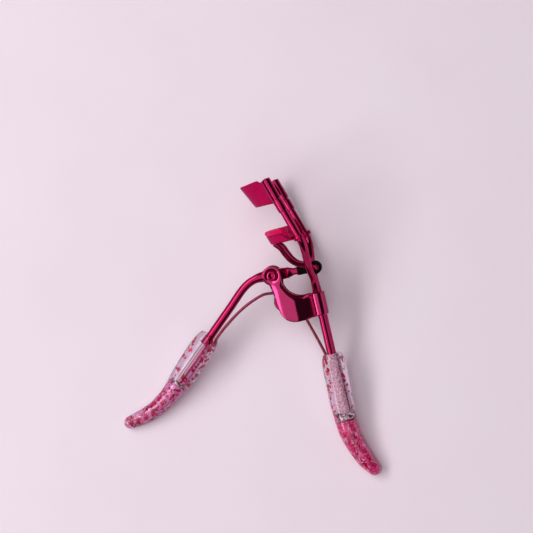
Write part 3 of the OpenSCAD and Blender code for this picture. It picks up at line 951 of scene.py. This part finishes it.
def spring():
    """Coil between the cheeks, with a leg into each grip."""
    rise = COIL_PITCH * COIL_TURNED / 360
    steps = 150
    coil = [
        COIL_AT + Vector((COIL_R * cos(a), COIL_R * sin(a), rise / 2 - rise * i / steps))
        for i in range(steps + 1)
        for a in [radians(LEG_ANGLE - COIL_TURNED * i / steps)]
    ]
    top = rise / 2
    left = curve([
        (-31.6, -11, top), (-27.1, -8.85, top), (-23.8, -7.4, top), (-19.4, -5.9, top), (-15.3, -4.8, top),
        (-10.9, -4.1, top), (-6.1, -4, top), (-2.6, -5.2, top), coil[0],
    ], 10)
    right = curve([
        coil[-1], (2.3, -18.4, -top), (2.2, -24.7, -top), (1.9, -31.9, -top), (1.5, -35.2, -top),
    ], 10)
    path = left[:-1] + coil + right[1:]
    made = piece("spring_wire", [tube(path, WIRE_R, 20)], WIRE, None, ["return_spring"])
    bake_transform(made)


# ---- grips ----

GRIP_SIDES = 64
FLAKE_T = 0.04
PLUG_HIGH = 2.55

FIXED_LINE = [
    (3.8, -32.9, 3.2), (2.9, -35.7, 3.95), (1, -41.4, 4.05), (-1, -47.1, 4.05), (-2.8, -52.8, 3.85),
    (-4.1, -58.6, 3.75), (-4.4, -64.5, 3.45), (-4, -69.8, 3.05), (-3.2, -73.2, 2.5),
]
MOVING_LINE = [
    (-29, -6.95, 3.3), (-31.6, -8.3, 4.1), (-36.5, -10.7, 4.4), (-43.5, -14.05, 4.1), (-50.5, -17.1, 3.25),
    (-57, -18.95, 2.85), (-63, -19.3, 2.6), (-68, -18.75, 2.1),
]


class Grip:
    """A curved grip along a line of (x, y, half width)."""

    def __init__(self, line):
        smooth = curve(line, 14)
        self.path = [Vector((p.x, p.y, 0)) for p in smooth]
        self.sizes = [p.z for p in smooth]
        self.ways = headings(self.path)

    def skin(self):
        """The grip's outside, with a rounded tip and a rolled mouth."""
        wide = self.sizes
        path, sizes = list(self.path), [(w, w * GRIP_FLAT) for w in wide]
        tip, way, w = path[-1], self.ways[-1], wide[-1]
        for a in range(8, 90, 8):
            path.append(tip + way * (w * sin(radians(a))))
            sizes.append((w * cos(radians(a)), w * cos(radians(a)) * GRIP_FLAT))
        mouth, start, w = path[0], self.ways[0], wide[0]
        lip = [(mouth - start * back, w - less) for back, less in ((0.35, 0.9), (0.33, 0.5), (0.22, 0.16))]
        rings = [ring_round(p, start, r, r * GRIP_FLAT, GRIP_SIDES) for p, r in lip]
        ways = self.ways + [way] * (len(path) - len(self.path))
        rings += [ring_round(p, h, a, b, GRIP_SIDES) for p, h, (a, b) in zip(path, ways, sizes)]
        return loft(rings)

    def filling(self, start, out, aside):
        """The inside of the grip from a share of its length on, set aside a little from its middle."""
        first = int(start * (len(self.path) - 1))
        path = [p + way.cross(FRONT) * aside for p, way in zip(self.path[first:], self.ways[first:])]
        sizes = [(w * out, w * out * GRIP_FLAT) for w in self.sizes[first:]]
        return tube(path, sizes, 48, (0.2, 0.9))

    def at(self, share, around, out):
        """A place inside the grip by share of its length, angle about its middle and share of its radius,
        with the way outward and the way along."""
        f = share * (len(self.path) - 1)
        i = min(int(f), len(self.path) - 2)
        t = f - i
        p = self.path[i].lerp(self.path[i + 1], t)
        w = self.sizes[i] * (1 - t) + self.sizes[i + 1] * t
        across = self.ways[i].cross(FRONT)
        normal = across * cos(around) + FRONT * sin(around)
        outward = across * cos(around) + Vector((0, 0, GRIP_FLAT)) * sin(around)
        return p + outward * (w * out), normal, self.ways[i]


def flake(random, centre, normal, along, radius, stretch):
    """A thin flake with an uneven outline, longer along the grip."""
    side = normal.cross(along).normalized()
    other = normal.cross(side)
    corners = 6
    ring = []
    for k in range(corners):
        a = 2 * pi * (k + random.uniform(-0.3, 0.3)) / corners
        r = radius * random.uniform(0.55, 1.1)
        ring.append(side * (r * cos(a)) + other * (r * stretch * sin(a)))
    points = [centre + p + normal * h for h in (-FLAKE_T / 2, FLAKE_T / 2) for p in ring]
    sides = [(k, (k + 1) % corners, corners + (k + 1) % corners, corners + k) for k in range(corners)]
    return points, [tuple(range(corners)), tuple(range(corners, 2 * corners))] + sides


def flakes(grip, seed, count, span, out, radius, around=(0, 2 * pi), stretch=(0.8, 1.6), facing=0.0):
    """Seeded flakes over a span of the grip's length and of the turn about its middle.
    facing tips them towards the front."""
    random = np.random.default_rng(seed)
    parts = []
    for _ in range(count):
        centre, normal, way = grip.at(random.uniform(*span), random.uniform(*around), random.uniform(*out))
        tilt = Vector(random.normal(0, 0.25, 3)) + Vector((0, 0, facing))
        size, longer = random.uniform(*radius), random.uniform(*stretch)
        parts.append(flake(random, centre, (normal + tilt).normalized(), way, size, longer))
    return merge(parts)


def liner(start, end, near, far, slit, half_slit, ribs=0):
    """Split liner round the metal inside a grip: an oval of (across, high) at each end, with a slit
    along it and ribs round it."""
    way = (end - start).normalized()
    across = way.cross(FRONT)
    wall, rib_depth = 0.3, 0.07
    steps, spans = max(40, 2 * ribs), 44
    turns = [slit + half_slit + (2 * pi - 2 * half_slit) * k / spans for k in range(spans + 1)]
    rings = []
    for k in range(steps + 1):
        t = k / steps
        groove = rib_depth if ribs and k % 2 else 0
        wide, high = (near[i] + (far[i] - near[i]) * t - groove for i in (0, 1))
        ring = [(wide, high, a) for a in turns] + [(wide - wall, high - wall, a) for a in reversed(turns)]
        centre = start.lerp(end, t)
        rings.append([centre + across * (w * cos(a)) + Vector((0, 0, h * sin(a))) for w, h, a in ring])
    return loft(rings)


def plug(name, end, way, body, wide):
    """Short plug that ends a liner."""
    path = [end + way * s for s in (0.1, 1.2, 2.3)]
    part = tube(path, [(wide, PLUG_HIGH)] * len(path), 48, (0.12, 0.12))
    piece(f"{name}_plug", [part], BAND, body, [f"{name}_grip_band"])


def glitter(name, body, kinds):
    """One piece for each kind of glitter in a grip."""
    for kind, material, parts in kinds:
        piece(f"{name}_{kind}_glitter", parts, material, body)


def fixed_grip():
    grip = Grip(FIXED_LINE)
    piece("fixed_grip_shell", [grip.skin()], FIXED_CLEAR, "frame", ["fixed_grip"])
    end = stem_at(STEM_LENGTH + 0.3)
    core = liner(stem_at(21.6), end, (1.9, 2.85), (2.1, 2.85), radians(150), radians(9), 60)
    piece("fixed_liner", [core], CORE, "frame", ["fixed_grip_core"])
    plug("fixed", end, STEM_DOWN, "frame", 3.1)
    low, left, right = (0.58, 0.985), (-0.25 * pi, 0.3 * pi), (0.7 * pi, 1.2 * pi)
    filled = (-0.3 * pi, 0.72 * pi)
    glitter("fixed", "frame", [
        ("packed", HOT_PACKED, [grip.filling(0.55, 0.78, 0.4)]),
        ("crimson", CRIMSON_FLAKE, [
            flakes(grip, 11, 34, (0.04, 0.24), (0.84, 0.93), (0.5, 0.85), left, facing=0.8),
            flakes(grip, 18, 20, (0.24, 0.54), (0.84, 0.93), (0.45, 0.75), left, facing=0.8),
            flakes(grip, 12, 15, (0.08, 0.5), (0.55, 0.88), (0.4, 0.75), right, facing=0.8),
            flakes(grip, 13, 60, low, (0.78, 0.95), (0.3, 0.6), filled),
        ]),
        ("magenta", MAGENTA_FLAKE, [
            flakes(grip, 14, 18, (0.3, 0.54), (0.7, 0.92), (0.35, 0.6), left, facing=0.8),
            flakes(grip, 15, 60, low, (0.78, 0.95), (0.25, 0.6), filled, (1, 2.4)),
        ]),
        ("pale", PALE_FLAKE, [
            flakes(grip, 16, 10, (0.05, 0.5), (0.8, 0.92), (0.2, 0.35)),
            flakes(grip, 17, 44, low, (0.8, 0.95), (0.2, 0.35), filled, (1.5, 4)),
        ]),
    ])


def moving_grip():
    grip = Grip(MOVING_LINE)
    piece("moving_grip_shell", [grip.skin()], MOVING_CLEAR, "lever", ["moving_grip"])
    start, end = BAR_END - BAR_WAY * 15, BAR_END + BAR_WAY * 0.3
    core = liner(start, end, (2.1, 1.8), (2.3, 2.3), radians(-90), radians(8))
    piece("moving_liner", [core], STRIPES_AND_HIGHLIGHTS, "lever", ["moving_grip_core"])
    plug("moving", end, BAR_WAY, "lever", 2.2)
    low, left, right = (0.42, 0.99), (0, 0.3 * pi), (0.55 * pi, 1.2 * pi)
    glitter("moving", "lever", [
        ("packed", MILD_PACKED, [grip.filling(0.5, 0.8, 0)]),
        ("crimson", CRIMSON_FLAKE, [
            flakes(grip, 31, 16, (0.06, 0.45), (0.84, 0.92), (0.45, 0.75), left, facing=0.8),
            flakes(grip, 32, 52, (0.04, 0.47), (0.6, 0.92), (0.35, 0.75), right, facing=0.8),
            flakes(grip, 33, 60, low, (0.84, 0.95), (0.25, 0.5), stretch=(1, 3.2)),
            flakes(grip, 38, 60, (0.95, 1.0), (0.7, 0.98), (0.4, 0.7)),
        ]),
        ("magenta", MAGENTA_FLAKE, [
            flakes(grip, 34, 34, (0.04, 0.47), (0.6, 0.92), (0.25, 0.55), right, facing=0.8),
            flakes(grip, 35, 40, low, (0.84, 0.95), (0.2, 0.5), stretch=(1, 3)),
        ]),
        ("pale", PALE_FLAKE, [
            flakes(grip, 36, 16, (0.05, 0.47), (0.7, 0.92), (0.2, 0.4), right, facing=0.8),
            flakes(grip, 37, 40, low, (0.84, 0.95), (0.2, 0.5), stretch=(1, 2.5)),
        ]),
    ])


# ---- stage, lights and camera ----

# Sizes and distances of the floor and the lights are in metres
FLOOR_HALF = 0.8
LIGHT_DISTANCE = 1.2
LIGHT_TARGET = Vector((-5, -12, 0))
VIEW_TILT = radians(6.8)
VIEW_DISTANCE = 398
LENS = 80
SENSOR = 36
VIEW_FROM = Vector((sin(VIEW_TILT), 0, cos(VIEW_TILT)))
VIEW_SIDE = Vector((cos(VIEW_TILT), 0, -sin(VIEW_TILT)))
VIEW_ROLL = radians(30.5)
VIEW_RIGHT = VIEW_SIDE * cos(VIEW_ROLL) - Vector((0, 1, 0)) * sin(VIEW_ROLL)
VIEW_UP = VIEW_SIDE * sin(VIEW_ROLL) + Vector((0, 1, 0)) * cos(VIEW_ROLL)
VIEW_TARGET = Vector((-0.14, 3.6, 0))


def stand(name, data, right, up, back, place):
    """An object with its axes along right, up and back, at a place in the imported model's frame."""
    made = bpy.data.objects.new(name, data)
    made.matrix_world = Matrix((
        (right.x, up.x, back.x, 0), (right.y, up.y, back.y, 0), (right.z, up.z, back.z, 0), (0, 0, 0, 1),
    ))
    made.matrix_world.translation = place
    bpy.context.scene.collection.objects.link(made)
    return made


def camera():
    data = bpy.data.cameras.new("camera")
    data.lens = LENS
    data.sensor_width = SENSOR
    data.clip_start = 0.01
    right, up, back = (TURN @ v for v in (VIEW_RIGHT, VIEW_UP, VIEW_FROM))
    place = PLACE @ (VIEW_TARGET + VIEW_FROM * VIEW_DISTANCE)
    bpy.context.scene.camera = stand("camera", data, right, up, back, place)


def softbox(name, aside, above, width, height, power):
    """An area light that faces the curler, placed by its angles aside and above the camera's line."""
    way = VIEW_FROM * (cos(radians(aside)) * cos(radians(above)))
    way += VIEW_RIGHT * (sin(radians(aside)) * cos(radians(above))) + VIEW_UP * sin(radians(above))
    way = (TURN @ way).normalized()
    data = bpy.data.lights.new(name, "AREA")
    data.shape = "RECTANGLE"
    data.size, data.size_y = width, height
    data.energy = power
    side = (TURN @ VIEW_UP).cross(way).normalized()
    stand(name, data, side, way.cross(side), way, PLACE @ LIGHT_TARGET + way * LIGHT_DISTANCE)


def pale_floor():
    half = FLOOR_HALF
    data = bpy.data.meshes.new("floor")
    corners = [(-half, -half, 0), (half, -half, 0), (half, half, 0), (-half, half, 0)]
    data.from_pydata(corners, [], [(0, 1, 2, 3)])
    data.materials.append(floor_look())
    floor = bpy.data.objects.new("floor", data)
    bpy.context.scene.collection.objects.link(floor)


def studio():
    """A world that is pale near the horizon and dark above, and three softboxes."""
    world = bpy.data.worlds.new("studio")
    bpy.context.scene.world = world
    world.use_nodes = True
    nodes, links = world.node_tree.nodes, world.node_tree.links
    direction = nodes.new("ShaderNodeTexCoord").outputs["Generated"]
    height = nodes.new("ShaderNodeSeparateXYZ")
    links.new(direction, height.inputs["Vector"])
    ramp = nodes.new("ShaderNodeValToRGB")
    low, high = ramp.color_ramp.elements
    low.position, low.color = 0.1, (0.72, 0.6, 0.68, 1)
    high.position, high.color = 0.24, (0.045, 0.04, 0.043, 1)
    links.new(height.outputs["Z"], ramp.inputs["Fac"])
    links.new(ramp.outputs["Color"], nodes["Background"].inputs["Color"])
    softbox("top_panel", -17, 7, 1.3, 1.76, 8.2)
    softbox("key_light", -48, 8, 0.3, 1.76, 9.8)
    softbox("fill_light", 74, -4, 0.4, 1.28, 1.4)
    bpy.context.scene.view_settings.view_transform = "Standard"


upper_jaw()
for side in (1, -1):
    rod(side)
    collar(side)
    yoke(side)
lower_jaw()
pad()
yoke_pin()
joint_block()
lever()
bracket()
rivet()
spring()
fixed_grip()
moving_grip()
camera()
pale_floor()
studio()
